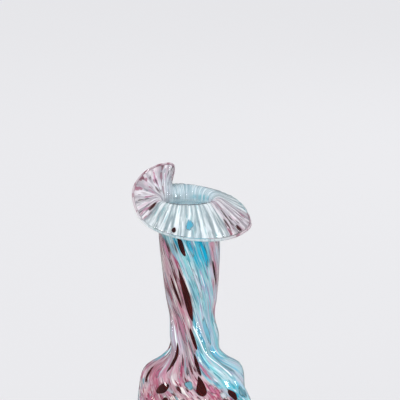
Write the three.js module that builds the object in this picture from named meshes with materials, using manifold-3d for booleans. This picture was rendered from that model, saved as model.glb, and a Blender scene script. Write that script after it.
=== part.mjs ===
// Jack-in-the-pulpit vase in cased spatter glass: a lobed, twisted bulb drawn up into a long
// twisted neck, whose mouth is folded out into a wide lip with one side pulled up as a tongue.
// The wall is built as the glassmaker builds it: a lining gather, chips of coloured glass
// picked up on it, and a clear casing gather over both, which also closes the lip's edge.
// Millimetres and degrees, +Z up, origin at the middle of the ground base, front towards -Y.

import Module from "manifold-3d";
import * as THREE from "three";

// Glass in the wall
const CASING_WALL = 1.4; // clear outer gather
const CASING_LIP = 0.7; // the same gather, thinned where it spreads into the lip
const LINING_WALL = 1.5; // inner gather
const LINING_LIP = 0.7;
const LINING_FLOOR = 3.4; // the lining is thickest under the bulb
const CHIP_THICKNESS = 0.5; // a chip rolled flat into the wall
const SEAT = 0.3; // clearance between pieces that touch
const LIP_BEAD = 2.2; // casing melted round over the lining's end, along the lip

// Turned profile of the middle of the wall, from the base's edge up to the throat: how far
// each stretch rises and the radius at its top.
const BASE_RADIUS = 25;
const HEEL_RISE = 3.6;
const HEEL_RADIUS = 31.5;
const LOWER_BULB_RISE = 11.5;
const LOWER_BULB_RADIUS = 37;
const BULB_RISE = 17;
const BULB_RADIUS = 39.2;
const UPPER_BULB_RISE = 16;
const UPPER_BULB_RADIUS = 37.2;
const SHOULDER_RISE = 13;
const SHOULDER_RADIUS = 32.8;
const INNER_SHOULDER_RISE = 7;
const INNER_SHOULDER_RADIUS = 22.4;
const NECK_FOOT_RISE = 7.5;
const NECK_FOOT_RADIUS = 16;
const STRAND_RISE = 12;
const STRAND_RADIUS = 14.9;
const WAIST_RISE = 13;
const WAIST_RADIUS = 14.2;
const LOWER_NECK_RISE = 14;
const LOWER_NECK_RADIUS = 16.6;
const NECK_RISE = 20;
const NECK_RADIUS = 18.8;
const UPPER_NECK_RISE = 30;
const UPPER_NECK_RADIUS = 20.6;
const THROAT_RISE = 21;
const THROAT_RADIUS = 19.6;
const PROFILE = [
  { place: "heel", rise: HEEL_RISE, radius: HEEL_RADIUS, rows: 1 },
  { place: "lower bulb", rise: LOWER_BULB_RISE, radius: LOWER_BULB_RADIUS, rows: 2 },
  { place: "bulb", rise: BULB_RISE, radius: BULB_RADIUS, rows: 2 },
  { place: "upper bulb", rise: UPPER_BULB_RISE, radius: UPPER_BULB_RADIUS, rows: 2 },
  { place: "shoulder", rise: SHOULDER_RISE, radius: SHOULDER_RADIUS, rows: 2 },
  { place: "inner shoulder", rise: INNER_SHOULDER_RISE, radius: INNER_SHOULDER_RADIUS, rows: 2 },
  { place: "foot of the neck", rise: NECK_FOOT_RISE, radius: NECK_FOOT_RADIUS, rows: 2 },
  { place: "strands", rise: STRAND_RISE, radius: STRAND_RADIUS, rows: 2 },
  { place: "waist", rise: WAIST_RISE, radius: WAIST_RADIUS, rows: 2 },
  { place: "lower neck", rise: LOWER_NECK_RISE, radius: LOWER_NECK_RADIUS, rows: 2 },
  { place: "neck", rise: NECK_RISE, radius: NECK_RADIUS, rows: 2 },
  { place: "upper neck", rise: UPPER_NECK_RISE, radius: UPPER_NECK_RADIUS, rows: 3 },
  { place: "throat", rise: THROAT_RISE, radius: THROAT_RADIUS, rows: 2 },
];

// Lobes pressed by the mould, and the twist put in afterwards
const LOBES = 5;
const BULB_LOBE = 0.06; // lobe height as a share of the radius
const STRAND_LOBE = 0.13; // the same where the neck starts, twisted like a rope
const NECK_LOBE = 0.015;
const STEEP_FLANK = 0.33; // share of a lobe's width taken by its steep side
const BULB_TURN = 123; // degrees of twist from the base up to the waist
const NECK_TURN = 79; // and from the waist up to the throat
const TWIST_BLEND = 6; // height over which one rate passes into the other
const NECK_LEAN = -5; // the throat's sideways drift along X from the base's axis
const LEAN_CURVE = 1.3; // above 1, the neck leans more the higher it is

// Ribs pressed into the lip and faded out down the throat
const RIBS = 28;
const RIB_HEIGHT = 0.28; // each way from the middle of the wall
const RIBS_FROM = 0.9; // as at in CHIPS below
const RIBS_FADE = 0.2;

// Lip, in sectors going round from the right (+X) by the back. Each has its width in degrees
// and, where it starts, which way the lip's edge faces (0 is straight up, 90 is level), its
// length and fold as shares of the two sizes here, and how far the edge is swept round.
const LIP_LENGTH = 37; // the longest stretch, at the front right
const LIP_FOLD = 9; // the fold out of the throat runs over this much of it
const SWEEP_CURVE = 1.5; // above 1, the sweep is gathered towards the edge
const LIP = [
  { sector: 30, bend: 126, length: 0.919, fold: 1, sweep: 0 },
  { sector: 35, bend: 112, length: 0.73, fold: 1.17, sweep: 0 },
  { sector: 35, bend: 106, length: 0.676, fold: 1.56, sweep: 0 },
  { sector: 20, bend: 99, length: 0.608, fold: 1.77, sweep: 2 },
  { sector: 12, bend: 86, length: 0.54, fold: 1.5, sweep: -8 },
  { sector: 12, bend: 44, length: 0.69, fold: 1.2, sweep: -24 },
  { sector: 16, bend: 19, length: 0.748, fold: 1.12, sweep: -26 },
  { sector: 20, bend: 39, length: 0.753, fold: 0.97, sweep: -15 },
  { sector: 25, bend: 93, length: 0.668, fold: 1.1, sweep: 7 },
  { sector: 30, bend: 130, length: 0.676, fold: 1, sweep: 0 },
  { sector: 35, bend: 140, length: 0.784, fold: 1, sweep: 0 },
  { sector: 42, bend: 144, length: 0.892, fold: 1, sweep: 0 },
  { sector: 33, bend: 138, length: 1, fold: 1, sweep: 0 },
  { sector: 15, bend: 128, length: 1, fold: 1, sweep: 0 },
];

// Chips of colour. at is the share of the way up from the base's edge to the throat (0 to 1)
// or out from the throat to the lip's edge (1 to 2); facing is round from the front, to the
// right. A chip lies along the twist. drop makes its lower end fuller, and slant leans its top
// to the right of the twist.
const CHIPS = [
  { colour: "oxblood", at: 0.859, facing: -17, length: 18, width: 4.2, drop: 0.15 },
  { colour: "oxblood", at: 0.656, facing: -13.5, length: 44, width: 4.4, drop: 0.25, slant: 5 },
  { colour: "oxblood", at: 0.668, facing: -39, length: 28, width: 2.6 },
  { colour: "oxblood", at: 0.735, facing: 63, length: 22, width: 2.8 },
  { colour: "oxblood", at: 0.4, facing: -43.5, length: 24, width: 3.2, slant: 14 },
  { colour: "oxblood", at: 0.475, facing: 0.5, length: 18, width: 3.2, slant: 3 },
  { colour: "oxblood", at: 0.378, facing: 6, length: 20, width: 3, slant: 8 },
  { colour: "oxblood", at: 0.303, facing: 8.5, length: 15.5, width: 7, drop: 0.5, slant: 22 },
  { colour: "oxblood", at: 0.288, facing: -40.5, length: 17, width: 6.2, slant: 100 },
  { colour: "oxblood", at: 0.262, facing: 46.5, length: 12, width: 4.6 },
  { colour: "oxblood", at: 0.232, facing: -35, length: 11, width: 7, slant: 60 },
  { colour: "oxblood", at: 0.313, facing: -80.5, length: 13, width: 3.4, slant: 13 },
  { colour: "oxblood", at: 1.48, facing: -65, length: 8.5, width: 3.8 },
  { colour: "oxblood", at: 1.86, facing: 60, length: 6, width: 3 },
  { colour: "oxblood", at: 1.83, facing: -16, length: 4.5, width: 3.2 },
  { colour: "turquoise", at: 0.825, facing: 31, length: 26, width: 4.6, drop: -0.3 },
  { colour: "turquoise", at: 0.85, facing: 1.5, length: 16, width: 3.6 },
  { colour: "turquoise", at: 0.5, facing: 47, length: 26, width: 4.6 },
  { colour: "turquoise", at: 0.36, facing: 62, length: 26, width: 6 },
  { colour: "turquoise", at: 0.309, facing: -7, length: 8, width: 7 },
  { colour: "turquoise", at: 1.65, facing: 2, length: 9.5, width: 5.5 },
  { colour: "turquoise", at: 0.262, facing: 62, length: 14, width: 6 },
  { colour: "pink", at: 0.835, facing: -54, length: 22, width: 5 },
  { colour: "pink", at: 0.52, facing: -38, length: 30, width: 6 },
  { colour: "pink", at: 0.335, facing: -58, length: 11, width: 8 },
  { colour: "pink", at: 0.292, facing: 23, length: 9, width: 6 },
  { colour: "pink", at: 1.82, facing: -112, length: 8, width: 3.5 },
  { colour: "pink", at: 1.75, facing: 84, length: 9, width: 4 },
  { colour: "white", at: 0.7, facing: 16, length: 30, width: 4.2 },
  { colour: "white", at: 0.266, facing: 35.5, length: 7.5, width: 5.5 },
];

// Chips that go round the far side and the bulb's lower half in rows.
const CHIP_ROWS = [
  { at: 0.075, from: 0, to: 360, count: 7, length: 9, width: 8 },
  { at: 0.155, from: 20, to: 380, count: 7, length: 12, width: 8 },
  { at: 0.28, from: 108, to: 288, count: 4, length: 13, width: 8 },
  { at: 0.46, from: 100, to: 300, count: 3, length: 24, width: 4.5 },
  { at: 0.76, from: 100, to: 290, count: 3, length: 30, width: 5 },
];
const ROW_COLOURS = ["turquoise", "pink", "oxblood", "white"];
const CHIP_STEPS = 4; // fewest outline points along each side of a chip
const STEP_LENGTH = 10; // a longer chip has one more for each such length
const CHIP_END = 80; // degrees round the chip's oval to where its blunt end starts
const CUT_DEPTH = 1.6; // how far a chip's cutter reaches each way from the wall's middle

// Mesh: how finely the glass is divided
const ROUND = 2 * Math.round(RIBS); // columns, one on each rib and one between, which follow the twist
const LIP_ROWS = 8;
const LIP_ROW_CURVE = 1.5; // above 1, those rows lie closer in the fold
const FOLD_STEPS = 20; // in which a row's way out along the lip is added up

// Where the wall changes thickness, as shares of the way up from the base's edge to the throat
const FLOOR_FADE = 0.08; // the lining thins from floor to wall by here
const LIP_THINS = 0.8; // both gathers start to thin here
const LIP_THINNED = 1.05; // and have done so here, a little way out along the lip

const DEGREE = Math.PI / 180;
const HALF_GAP = CHIP_THICKNESS / 2 + SEAT; // from the wall's middle to either gather
const BASE_Z = CASING_WALL + HALF_GAP;

const smooth = (x) => {
  const t = Math.min(1, Math.max(0, x));
  return t * t * (3 - 2 * t);
};
const mix = (a, b, t) => a + (b - a) * t;

// Cubic through b and c, with slopes taken from their neighbours a and d.
function through([a, b, c, d], x) {
  const span = c.x - b.x;
  const t = (x - b.x) / span;
  const slopeB = c.x > a.x ? (c.y - a.y) / (c.x - a.x) : 0;
  const slopeC = d.x > b.x ? (d.y - b.y) / (d.x - b.x) : 0;
  const t2 = t * t;
  const t3 = t2 * t;
  return (
    (2 * t3 - 3 * t2 + 1) * b.y +
    (t3 - 2 * t2 + t) * span * slopeB +
    (3 * t2 - 2 * t3) * c.y +
    (t3 - t2) * span * slopeC
  );
}

// The profile's stations, as heights and radii.
const stations = [{ x: BASE_Z, y: BASE_RADIUS }];
for (const { rise, radius } of PROFILE) {
  stations.push({ x: stations.at(-1).x + rise, y: radius });
}
const heightOf = (place) => stations[1 + PROFILE.findIndex((s) => s.place === place)].x;
const LOWER_Z = heightOf("lower bulb");
const BULB_TOP_Z = heightOf("upper bulb");
const STRAND_Z = heightOf("strands");
const WAIST_Z = heightOf("waist");
const PLAIN_Z = heightOf("lower neck");
const THROAT_Z = heightOf("throat");

function radiusAt(z) {
  const last = stations.length - 1;
  let i = stations.findIndex((s) => s.x > z) - 1;
  if (i < 0) i = last - 1;
  const near = [i - 1, i, i + 1, i + 2].map((k) => stations[Math.min(last, Math.max(0, k))]);
  return through(near, z);
}

// How far the glass is turned at a height, in degrees; zero at the waist.
const neckTwist = NECK_TURN / (THROAT_Z - WAIST_Z);
const bulbTwist = BULB_TURN / (WAIST_Z - BASE_Z);
function twistAt(z) {
  const above = z - WAIST_Z;
  const extra = (bulbTwist - neckTwist) * TWIST_BLEND;
  return extra * (Math.log1p(Math.exp(-above / TWIST_BLEND)) - Math.LN2) - neckTwist * above;
}

// One lobe's wave from -1 to 1, rising gently to its ridge at 0 and falling steeply after it.
// The mould has a whole number of lobes.
function lobeWave(around) {
  const turn = (((around * Math.round(LOBES)) / 360) % 1 + 1) % 1;
  const flank = turn < STEEP_FLANK ? turn / STEEP_FLANK : (1 - turn) / (1 - STEEP_FLANK);
  return Math.cos(Math.PI * flank);
}

// Share of the radius by which the wall stands out, round a section of the mould.
function lobeAt(z, around) {
  const heel = smooth((z - BASE_Z) / (LOWER_Z - BASE_Z));
  const strands = smooth((z - BULB_TOP_Z) / (STRAND_Z - BULB_TOP_Z));
  const neck = smooth((z - STRAND_Z) / (PLAIN_Z - STRAND_Z));
  const throat = smooth((z - WAIST_Z) / (THROAT_Z - WAIST_Z));
  const height = mix(mix(BULB_LOBE, STRAND_LOBE, strands), NECK_LOBE, neck);
  return height * heel * (1 - throat) * lobeWave(around);
}

const leanAt = (z) => {
  const share = Math.max(0, (z - BULB_TOP_Z) / (THROAT_Z - BULB_TOP_Z));
  return NECK_LEAN * share ** LEAN_CURVE;
};

// How far a rib stands out of the wall, or a valley in.
const ribAt = (along, around) =>
  RIB_HEIGHT *
  smooth((along - RIBS_FROM) / RIBS_FADE) *
  Math.cos(Math.round(RIBS) * around * DEGREE);

// Where each sector of the lip starts, as a bearing from +X.
const lipCircle = LIP.reduce((sum, s) => sum + s.sector, 0);
const bearings = [0];
for (const { sector } of LIP) bearings.push(bearings.at(-1) + (360 * sector) / lipCircle);

function lipAt(key, bearing) {
  const count = LIP.length;
  const at = ((bearing % 360) + 360) % 360;
  const i = Math.max(1, bearings.findIndex((b) => b > at)) - 1;
  const near = [i - 1, i, i + 1, i + 2].map((k) => {
    const turn = Math.floor(k / count);
    const m = k - turn * count;
    return { x: bearings[m] + 360 * turn, y: LIP[m][key] };
  });
  return through(near, at);
}

// The middle of the wall. along runs 0 to 1 from the base's edge up to the throat, and
// 1 to 2 from the throat out to the lip's edge; around is in degrees, before the twist.
function middle(along, around) {
  const z = mix(BASE_Z, THROAT_Z, Math.min(1, along));
  const bearing = around - 90 + twistAt(z);
  if (along <= 1) {
    const r = radiusAt(z) * (1 + lobeAt(z, around)) + ribAt(along, around);
    const angle = bearing * DEGREE;
    return new THREE.Vector3(leanAt(z) + r * Math.cos(angle), r * Math.sin(angle), z);
  }
  const share = along - 1;
  const reach = LIP_LENGTH * lipAt("length", bearing) * share;
  const fold = LIP_FOLD * lipAt("fold", bearing);
  const facingAt = (run) => lipAt("bend", bearing) * DEGREE * smooth(run / fold);
  const rib = ribAt(along, around);
  let out = THROAT_RADIUS + rib * Math.cos(facingAt(reach));
  let up = THROAT_Z - rib * Math.sin(facingAt(reach));
  for (let i = 0; i < FOLD_STEPS; i += 1) {
    const facing = facingAt(((i + 0.5) / FOLD_STEPS) * reach);
    out += (Math.sin(facing) * reach) / FOLD_STEPS;
    up += (Math.cos(facing) * reach) / FOLD_STEPS;
  }
  const angle = (bearing + lipAt("sweep", bearing) * share ** SWEEP_CURVE) * DEGREE;
  return new THREE.Vector3(NECK_LEAN + out * Math.cos(angle), out * Math.sin(angle), up);
}

// The wall's direction outwards, square to its middle, from points a little way to each side.
function outward(along, around) {
  if (along === 0) return new THREE.Vector3(0, 0, -1);
  const near = 1e-3;
  const beside = 0.1;
  const up = middle(Math.min(2, along + near), around).sub(middle(along - near, around));
  const round = middle(along, around + beside).sub(middle(along, around - beside));
  return round.cross(up).normalize();
}

const wallPoint = (along, around, depth) =>
  middle(along, around).addScaledVector(outward(along, around), depth);

// Rows of the wall's grid, from the base's edge to the lip's edge.
const rowsTo = (end) => {
  const rows = [];
  const share = (z) => (z - BASE_Z) / (THROAT_Z - BASE_Z);
  PROFILE.forEach((stretch, i) => {
    for (let k = 0; k < stretch.rows; k += 1) {
      rows.push(share(stations[i].x + (stretch.rise * k) / stretch.rows));
    }
  });
  for (let k = 0; k <= LIP_ROWS; k += 1) {
    rows.push(mix(1, end, (k / LIP_ROWS) ** LIP_ROW_CURVE));
  }
  return rows;
};

const lipShare = (along) => smooth((along - LIP_THINS) / (LIP_THINNED - LIP_THINS));
const casingAt = (along) => mix(CASING_WALL, CASING_LIP, lipShare(along));
const liningAt = (along) =>
  mix(LINING_FLOOR, mix(LINING_WALL, LINING_LIP, lipShare(along)), smooth(along / FLOOR_FADE));

// One ring of points at a depth from the wall's middle, outwards positive.
const ring = (along, depth) =>
  Array.from({ length: ROUND }, (_, j) => wallPoint(along, (j * 360) / ROUND, depth(along)));

// Where the glass stops short of the lip's edge by a distance.
const shortOf = (distance) => 2 - distance / (LIP_LENGTH * Math.min(...LIP.map((s) => s.length)));

// A closed skin over rings of equal count, with a point at the axis before and after them.
// From the ring at turn on it runs back, and cuts its cells along the same diagonal as on the
// way out, so that facets at two depths lie side by side.
function closedSkin(firstPole, rings, turn, lastPole) {
  const points = [firstPole, ...rings.flat(), lastPole];
  const index = [];
  const at = (i, j) => 1 + i * ROUND + (j % ROUND);
  for (let j = 0; j < ROUND; j += 1) {
    index.push(0, at(0, j + 1), at(0, j));
    index.push(points.length - 1, at(rings.length - 1, j), at(rings.length - 1, j + 1));
    for (let i = 0; i + 1 < rings.length; i += 1) {
      const cell = [at(i, j), at(i, j + 1), at(i + 1, j + 1), at(i + 1, j)];
      const [a, b, c, d] = i < turn ? cell : [cell[1], cell[2], cell[3], cell[0]];
      index.push(a, b, c, a, c, d);
    }
  }
  const geometry = new THREE.BufferGeometry().setFromPoints(points);
  geometry.setIndex(index);
  geometry.computeVertexNormals();
  return geometry;
}

// Glass between two depths: out along one face, over the edge's rings, back along the other.
function gather(outDepth, inDepth, edgeRings, end) {
  const rows = rowsTo(end);
  const out = rows.map((along) => ring(along, outDepth));
  const back = rows.map((along) => ring(along, inDepth)).reverse();
  const pole = (depth) => new THREE.Vector3(0, 0, BASE_Z - depth(0));
  const rings = [...out, ...edgeRings, ...back];
  return closedSkin(pole(outDepth), rings, out.length + edgeRings.length, pole(inDepth));
}

const solid = (points, index) =>
  new Manifold(
    new Mesh({
      numProp: 3,
      vertProperties: Float32Array.from(points.flatMap((p) => [p.x, p.y, p.z])),
      triVerts: Uint32Array.from(index),
    }),
  );

function solidOf(geometry) {
  const position = geometry.getAttribute("position");
  const points = Array.from({ length: position.count }, (_, i) =>
    new THREE.Vector3().fromBufferAttribute(position, i),
  );
  return solid(points, geometry.getIndex().array);
}

function geometryOf(body) {
  const { vertProperties, triVerts } = body.getMesh();
  const geometry = new THREE.BufferGeometry();
  geometry.setAttribute("position", new THREE.BufferAttribute(vertProperties, 3));
  geometry.setIndex(new THREE.BufferAttribute(triVerts, 1));
  geometry.computeVertexNormals();
  return geometry;
}

// A solid that reaches through the wall with a chip's outline: rows of three points, left,
// middle and right, from the chip's lower end to its upper end.
function chipCutter({ at, facing, length, width, drop = 0, slant = 0 }) {
  const centre = facing - twistAt(mix(BASE_Z, THROAT_Z, Math.min(1, at)));
  const near = 0.01;
  const rise = middle(at + near, centre).sub(middle(at - near, centre)).divideScalar(2 * near);
  const level = middle(at, centre + 1).sub(middle(at, centre - 1)).divideScalar(2);
  const perDegree = level.length();
  const drift = rise.dot(level) / perDegree; // the twist carries a rising line sideways by this
  const climb = Math.sqrt(rise.lengthSq() - drift * drift);
  const turned = -Math.atan2(drift, climb) - slant * DEGREE;
  const lean = new THREE.Vector2();
  const place = (up, side, depth) => {
    lean.set(side, up).rotateAround(new THREE.Vector2(), turned);
    const along = lean.y / climb;
    return wallPoint(at + along, centre + (lean.x - along * drift) / perDegree, depth);
  };
  const count = CHIP_STEPS + Math.round(length / STEP_LENGTH);
  const points = [];
  for (const depth of [CUT_DEPTH, -CUT_DEPTH]) {
    for (let i = 0; i < count; i += 1) {
      const turn = mix(-CHIP_END, CHIP_END, i / (count - 1)) * DEGREE;
      const half = (width / 2) * Math.cos(turn) * (1 - drop * Math.sin(turn));
      for (const side of [-half, 0, half]) {
        points.push(place((length / 2) * Math.sin(turn), side, depth));
      }
    }
  }
  const back = 3 * count;
  const index = [];
  for (let i = 0; i + 1 < count; i += 1) {
    for (const k of [3 * i, 3 * i + 1]) {
      index.push(k, k + 1, k + 4, k, k + 4, k + 3);
      index.push(back + k, back + k + 4, back + k + 1, back + k, back + k + 3, back + k + 4);
    }
  }
  const steps = Array.from({ length: count }, (_, i) => 3 * i);
  const rim = [0, 1, ...steps.map((k) => k + 2), back - 2, ...steps.slice(1).reverse()];
  rim.forEach((k, i) => {
    const next = rim[(i + 1) % rim.length];
    index.push(next, k, back + k, next, back + k, back + next);
  });
  return solid(points, index);
}

const glass = (color, opacity) =>
  new THREE.MeshStandardMaterial({
    color,
    roughness: 0.05,
    metalness: 0,
    transparent: opacity < 1,
    opacity,
  });

const materials = {
  casing: glass(0xeef4f5, 0.3),
  lining: glass(0xd9cdd6, 0.55),
  oxblood: glass(0x4a0a10, 1),
  turquoise: glass(0x1fa3bd, 1),
  pink: glass(0xc98ca6, 1),
  white: glass(0xe4e6ea, 1),
};

const wasm = await Module();
wasm.setup();
const { Manifold, Mesh } = wasm;
const vase = new THREE.Group();

function addPiece(name, geometry, material) {
  const piece = new THREE.Mesh(geometry, materials[material]);
  piece.name = name;
  vase.add(piece);
}

// Clear casing: the whole outside, and the bead that closes the lip over the lining.
function outerCasing() {
  const face = (along) => HALF_GAP + casingAt(along);
  const inside = () => HALF_GAP;
  const liningFace = (along) => -HALF_GAP - liningAt(along);
  const beadStart = shortOf(LIP_BEAD);
  const bead = [ring(2, face), ring(2, liningFace), ring(beadStart, liningFace)];
  return gather(face, inside, bead, beadStart);
}

// Lining: the inner gather that carries the chips, ending just short of the bead.
function innerLining() {
  const face = () => -HALF_GAP;
  const inside = (along) => -HALF_GAP - liningAt(along);
  return gather(face, inside, [], shortOf(LIP_BEAD + SEAT));
}

// Chips: each is cut to its outline from a thin skin along the wall's middle, so that it lies
// at the same clearance from both gathers.
function colourChips() {
  const face = () => CHIP_THICKNESS / 2;
  const back = () => -CHIP_THICKNESS / 2;
  const skin = solidOf(gather(face, back, [], shortOf(LIP_BEAD + SEAT)));
  const rows = CHIP_ROWS.flatMap(({ from, to, count, ...chip }, row) =>
    Array.from({ length: count }, (_, i) => ({
      ...chip,
      facing: mix(from, to, i / count),
      colour: ROW_COLOURS[(i + row) % ROW_COLOURS.length],
    })),
  );
  const made = {};
  for (const chip of [...CHIPS, ...rows]) {
    made[chip.colour] = (made[chip.colour] ?? 0) + 1;
    const number = String(made[chip.colour]).padStart(2, "0");
    const body = skin.intersect(chipCutter(chip));
    addPiece(`${chip.colour}_chip_${number}`, geometryOf(body), chip.colour);
  }
}

addPiece("outer_casing", outerCasing(), "casing");
addPiece("inner_lining", innerLining(), "lining");
colourChips();

export default vase;
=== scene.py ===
# %% [markdown]
# # A jack-in-the-pulpit vase in twisted spatter glass
# The vase is one blown wall of glass. The maker gathers clear glass (the lining), rolls it over
# chips of coloured glass, gathers clear glass again over them (the casing), blows the bulb into
# a mould with five lobes, twists it while drawing up the neck, and folds the mouth out into a
# ribbed lip. Every piece below follows that one wall, so the wall is written once as a formula
# and each piece is shaped on it.

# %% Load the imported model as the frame
import math

import bpy
import numpy as np
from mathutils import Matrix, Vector


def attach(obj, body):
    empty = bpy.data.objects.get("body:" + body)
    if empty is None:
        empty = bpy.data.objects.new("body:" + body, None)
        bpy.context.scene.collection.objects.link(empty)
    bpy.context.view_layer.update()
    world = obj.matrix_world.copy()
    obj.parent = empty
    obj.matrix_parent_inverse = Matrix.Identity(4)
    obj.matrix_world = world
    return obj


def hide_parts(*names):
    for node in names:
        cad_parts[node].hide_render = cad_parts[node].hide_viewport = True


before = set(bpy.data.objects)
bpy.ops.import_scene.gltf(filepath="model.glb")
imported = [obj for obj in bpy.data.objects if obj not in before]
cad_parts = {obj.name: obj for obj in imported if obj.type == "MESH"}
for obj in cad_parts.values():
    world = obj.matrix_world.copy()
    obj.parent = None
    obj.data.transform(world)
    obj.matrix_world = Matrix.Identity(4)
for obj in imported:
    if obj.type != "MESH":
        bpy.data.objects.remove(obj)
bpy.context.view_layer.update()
MM = 0.001

# %% [markdown]
# ## The camera
# The photograph looks at the vase from the front and 12 degrees above, from so far off that
# there is hardly any perspective. A long lens far away gives that. The frame is 293 mm wide at
# the vase, and its bottom edge cuts the vase off below the shoulder.

# %% The camera
LOOK_DOWN = math.radians(12)
CAMERA_DISTANCE = 2.5
FRAME_WIDTH = 0.2932
SENSOR_WIDTH = 36
AIM = Vector((0.00403, 0, 0.1911))

camera = bpy.data.objects.new("camera", bpy.data.cameras.new("camera"))
bpy.context.scene.collection.objects.link(camera)
camera.data.sensor_width = SENSOR_WIDTH
camera.data.lens = SENSOR_WIDTH * CAMERA_DISTANCE / FRAME_WIDTH
camera.data.clip_end = 50
back = Vector((0, -math.cos(LOOK_DOWN), math.sin(LOOK_DOWN)))
camera.location = AIM + back * CAMERA_DISTANCE
camera.rotation_mode = "QUATERNION"
camera.rotation_quaternion = (-back).to_track_quat("-Z", "Y")
bpy.context.scene.camera = camera
bpy.context.scene.view_settings.view_transform = "Standard"
print("camera: lens", round(camera.data.lens), "mm at", round(CAMERA_DISTANCE, 2), "m")

# %% [markdown]
# ## The wall as a formula
# A section of the vase is a circle with five lobes. Going up, its radius follows a turned
# profile, the lobes turn with the twist, and past the throat the wall folds outwards by an
# amount that differs round the lip. The sizes are the CAD model's, in millimetres, so that what
# is modelled here fits it. Only what would take it too many faces is finer here: 44 ribs in the
# lip for its 28, a slimmer bead along the lip's edge, and a low fold along each strand.

# %% Sizes of the wall and its profile
CASING_WALL, CASING_LIP = 1.4, 0.7
LINING_WALL, LINING_LIP, LINING_FLOOR = 1.5, 0.7, 3.4
CHIP_THICKNESS, SEAT = 0.5, 0.3
HALF_GAP = CHIP_THICKNESS / 2 + SEAT
BASE_Z = CASING_WALL + HALF_GAP
BASE_RADIUS = 25
# each stretch of the profile: how far it rises, and the radius at its top
PROFILE = [
    (3.6, 31.5), (11.5, 37), (17, 39.2), (16, 37.2), (13, 32.8), (7, 22.4), (7.5, 16),
    (12, 14.9), (13, 14.2), (14, 16.6), (20, 18.8), (30, 20.6), (21, 19.6),
]
STATION_Z = BASE_Z + np.concatenate([[0], np.cumsum([rise for rise, _ in PROFILE])])
STATION_R = np.array([BASE_RADIUS] + [radius for _, radius in PROFILE], float)
LOWER_Z, BULB_TOP_Z, STRAND_Z, WAIST_Z, PLAIN_Z, THROAT_Z = STATION_Z[[2, 4, 8, 9, 10, 13]]
print("throat at", round(float(THROAT_Z), 2), "mm, waist at", round(float(WAIST_Z), 2), "mm")

# %% Sizes of the lobes and the twist
# the lobes stand out by a share of the radius, and their steep side takes a share of their width
LOBES, BULB_LOBE, STRAND_LOBE, NECK_LOBE, STEEP_FLANK = 5, 0.06, 0.13, 0.015, 0.33
BULB_TURN, NECK_TURN = 123, 79  # degrees, from the base to the waist and on to the throat
BULB_TWIST = BULB_TURN / (WAIST_Z - BASE_Z)
NECK_TWIST = NECK_TURN / (THROAT_Z - WAIST_Z)
TWIST_BLEND, NECK_LEAN, LEAN_CURVE = 6, -5, 1.3
print("twist:", round(BULB_TWIST, 2), "degrees per mm in the bulb,", round(NECK_TWIST, 2), "above")

# %% Sizes of the lip
RIBS, RIB_HEIGHT, RIBS_FROM, RIBS_FADE = 44, 0.2, 0.88, 0.2
LIP_LENGTH, LIP_FOLD, FOLD_STEPS, SWEEP_CURVE, LIP_BEAD = 37, 9, 20, 1.5, 1.0
# the lip in sectors from +X by the back: width, bend, length, fold, sweep
LIP = np.array([
    (30, 126, 0.919, 1, 0), (35, 112, 0.73, 1.17, 0), (35, 106, 0.676, 1.56, 0),
    (20, 99, 0.608, 1.77, 2), (12, 86, 0.54, 1.5, -8), (12, 44, 0.69, 1.2, -24),
    (16, 19, 0.748, 1.12, -26), (20, 39, 0.753, 0.97, -15), (25, 93, 0.668, 1.1, 7),
    (30, 130, 0.676, 1, 0), (35, 140, 0.784, 1, 0), (42, 144, 0.892, 1, 0),
    (33, 138, 1, 1, 0), (15, 128, 1, 1, 0),
], float)
BEND, LENGTH, FOLD, SWEEP = 1, 2, 3, 4
LIP_BEARING = np.concatenate([[0], np.cumsum(LIP[:, 0])])
print("the lip:", len(LIP), "sectors over", int(LIP_BEARING[-1]), "degrees")

# %% [markdown]
# ## Curves through the sizes
# Hot glass has no creases. Straight lines between the sizes would make one at each of them, so
# the wall runs through them on curves, which take their slope from the sizes on either side.

# %% Curves through the sizes


def smooth(x):
    """0 up to 0 and 1 from 1, with an even S between."""
    t = np.clip(x, 0, 1)
    return t * t * (3 - 2 * t)


def mix(a, b, t):
    return a + (b - a) * t


def through(xs, ys, x):
    """A smooth curve through the points, with slopes taken from their neighbours."""
    b = np.clip(np.searchsorted(xs, x, side="right") - 1, 0, len(xs) - 2)
    a, c, d = np.maximum(b - 1, 0), b + 1, np.minimum(b + 2, len(xs) - 1)
    span = xs[c] - xs[b]
    t = (x - xs[b]) / span
    slope_b = (ys[c] - ys[a]) / (xs[c] - xs[a])
    slope_c = (ys[d] - ys[b]) / (xs[d] - xs[b])
    t2, t3 = t * t, t * t * t
    return (
        (2 * t3 - 3 * t2 + 1) * ys[b] + (t3 - 2 * t2 + t) * span * slope_b
        + (3 * t2 - 2 * t3) * ys[c] + (t3 - t2) * span * slope_c
    )


def lip_at(column, bearing):
    """One of the lip's sizes at a bearing, going smoothly round the circle."""
    xs = np.concatenate([LIP_BEARING[-3:-1] - 360, LIP_BEARING[:-1], LIP_BEARING[:3] + 360])
    ys = np.concatenate([LIP[-2:, column], LIP[:, column], LIP[:3, column]])
    return through(xs, ys, np.mod(bearing, 360))


print("the lip at the front bends by", round(float(lip_at(BEND, 270))), "degrees")

# %% [markdown]
# ## A point of the wall
# `along` is 0 at the base's edge, 1 at the throat and 2 at the lip's edge, and `around` is in
# degrees before the twist, so that both stay with the same bit of glass while it is drawn out.

# %% The twist and the lobes


def twist_at(z):
    above = z - WAIST_Z
    extra = (BULB_TWIST - NECK_TWIST) * TWIST_BLEND
    return extra * (np.log1p(np.exp(-above / TWIST_BLEND)) - math.log(2)) - NECK_TWIST * above


def lobe_wave(around):
    """1 on each lobe's crest and -1 in each groove, which lies close to one side of the crest."""
    turn = np.mod(around * LOBES / 360, 1)
    flank = np.where(turn < STEEP_FLANK, turn / STEEP_FLANK, (1 - turn) / (1 - STEEP_FLANK))
    return np.cos(np.pi * flank)


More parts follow.
